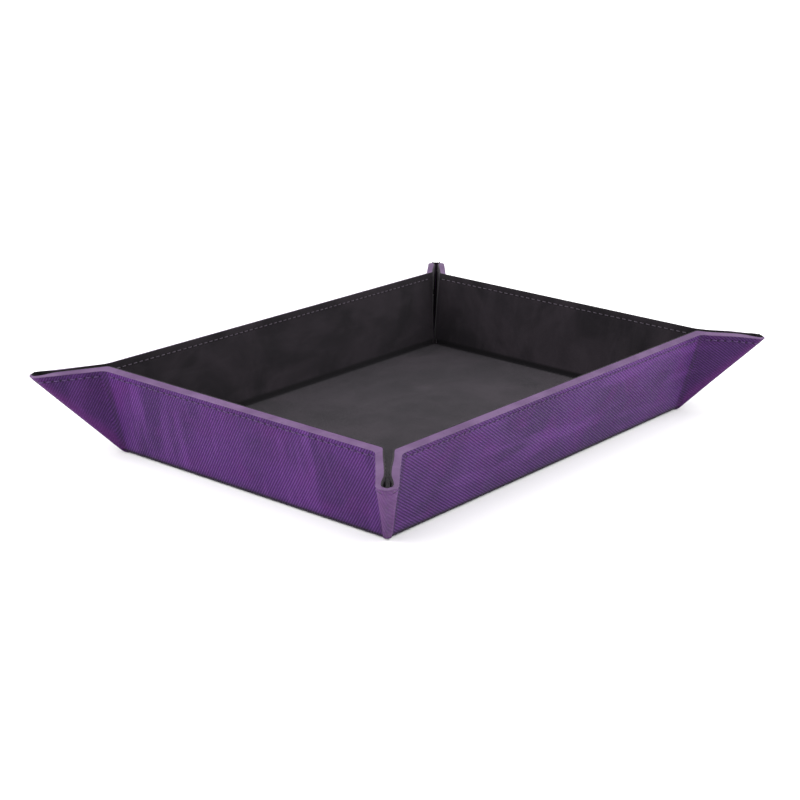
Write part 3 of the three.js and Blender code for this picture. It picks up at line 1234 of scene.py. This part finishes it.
def stitch_row(body, side, places):
    """One mesh of stitches. places is a list of (centre, unit vector along, unit vector up)."""
    points, faces = [], []
    for place in places:
        faces += tube_faces(len(STITCH_ROUND), len(STITCH_ALONG), len(points))
        points += stitch_points(*place)
    rim = [(along, around) for around in STITCH_ROUND for along in STITCH_ALONG] * len(places)
    flat = [point[:2] for point in points]
    return mesh_object(f"{body}_stitches_{side}", points, faces, flat, rim, THREADS[side], 60)


def add_wall_stitches(wall):
    outward = np.array(OUTWARD[wall])
    along = unit(np.abs(np.cross(outward, [0, 0, 1])))
    up_wall = outward * SLOPE + np.array([0, 0, RISE])
    normal = outward * RISE - np.array([0, 0, SLOPE])
    slant = unit(along + STITCH_SLANT * up_wall)
    line = outward * wall_distance(wall) + up_wall * (WALL_HEIGHT - STITCH_FROM_RIM)
    for side, depth, facing in (("outside", 0.0, normal), ("inside", THICKNESS, -normal)):
        foot = line - normal * depth
        places = [(foot + along * at, slant, facing) for at in WALL_ROWS[wall].middles()]
        settle(stitch_row(f"{wall}_wall", side, places), f"{wall}_wall")


def add_ear_stitches(corner, half):
    axis = np.array(across_axis(corner, half))
    middles = EAR_ROW.middles()
    outer = ear_outer_row(WALL_HEIGHT - STITCH_FROM_RIM)
    inner = ear_inner_row(RIM - STITCH_FROM_RIM, corner)[1][CREASE_STEPS:]
    sides = (("outside", outer, axis, middles), ("inside", inner, -axis, middles[:-1]))
    for side, line, facing, row in sides:
        distance = ear_along(line)
        places = []
        for at in row:
            start, centre, end = [
                to_tray(corner, half, np.array([np.interp(at + d, distance, line[:, c]) for c in range(3)]))
                for d in (-0.5, 0.0, 0.5)
            ]
            places.append((centre, unit(end - start), facing))
        settle_on_ear(stitch_row(ear_body(corner, half), side, places), corner, half, side)


# ---- studio

GROUND_REACH = 6.0
GROUND_LEVEL = -0.0002
LIGHT_TARGET = Vector((0, 0, 0.01))
LIGHT_SIZE = 1.9
WORLD_STRENGTH = 0.8


def area_light(name, place, power):
    light = bpy.data.lights.new(name, "AREA")
    light.shape = "DISK"
    light.size = LIGHT_SIZE
    light.energy = power
    made = add_object(name, light)
    made.location = place
    made.rotation_euler = (LIGHT_TARGET - Vector(place)).to_track_quat("-Z", "Y").to_euler()


def add_studio():
    mesh = bpy.data.meshes.new("studio_floor")
    corners = [(GROUND_REACH * x, GROUND_REACH * y, 0) for x, y in ((-1, -1), (1, -1), (1, 1), (-1, 1))]
    mesh.from_pydata(corners, [], [(0, 1, 2, 3)])
    ground = add_object("studio_floor", mesh)
    ground.location.z = GROUND_LEVEL
    look = Look("studio_floor")
    look.set(look.shader, "Base Color", (0.82, 0.82, 0.82, 1))
    look.set(look.shader, "Roughness", 0.9)
    mesh.materials.append(look.material)

    world = bpy.data.worlds.new("studio")
    world.use_nodes = True
    background = world.node_tree.nodes["Background"]
    background.inputs["Color"].default_value = (1, 1, 1, 1)
    background.inputs["Strength"].default_value = WORLD_STRENGTH
    bpy.context.scene.world = world
    area_light("left", (-1.25, 0.85, 0.85), 42.5)
    area_light("right", (0.85, -1.25, 0.85), 34)
    overhead = bpy.data.lights.new("overhead", "SUN")
    overhead.energy = 1.3
    overhead.angle = math.radians(60)
    add_object("overhead", overhead)
    bpy.context.scene.view_settings.view_transform = "Standard"


CAMERA_TARGET = Vector((0.0292, 0.0318, 0.0004))
CAMERA_BEARING = math.radians(218.139)
CAMERA_RISE = math.radians(18.054)
CAMERA_DISTANCE = 0.8948
CAMERA_ROLL = math.radians(1.653)
CAMERA_LENS = 80.49


def add_camera():
    toward = Vector((
        math.cos(CAMERA_BEARING) * math.cos(CAMERA_RISE),
        math.sin(CAMERA_BEARING) * math.cos(CAMERA_RISE),
        math.sin(CAMERA_RISE),
    ))
    right = (-toward).cross(Vector((0, 0, 1))).normalized()
    up = right.cross(-toward)
    rolled = right * math.cos(CAMERA_ROLL) + up * math.sin(CAMERA_ROLL)
    rolled_up = up * math.cos(CAMERA_ROLL) - right * math.sin(CAMERA_ROLL)
    lens = bpy.data.cameras.new("camera")
    lens.lens = CAMERA_LENS
    lens.sensor_width = 36
    camera = add_object("camera", lens)
    turn = Matrix((rolled, rolled_up, toward)).transposed().to_4x4()
    camera.matrix_world = Matrix.Translation(CAMERA_TARGET + toward * CAMERA_DISTANCE) @ turn
    bpy.context.scene.camera = camera


# ---- scene

add_cover()
add_lining()
add_edges()
for corner, half in EARS:
    add_stiffener(corner, half)
    add_magnet(corner, half)
for wall in WALLS:
    add_wall_stitches(wall)
for corner, half in EARS:
    add_ear_stitches(corner, half)
for name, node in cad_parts.items():
    if name.endswith("_board"):
        node.data.materials.clear()
        node.data.materials.append(BOARD)
add_studio()
add_camera()
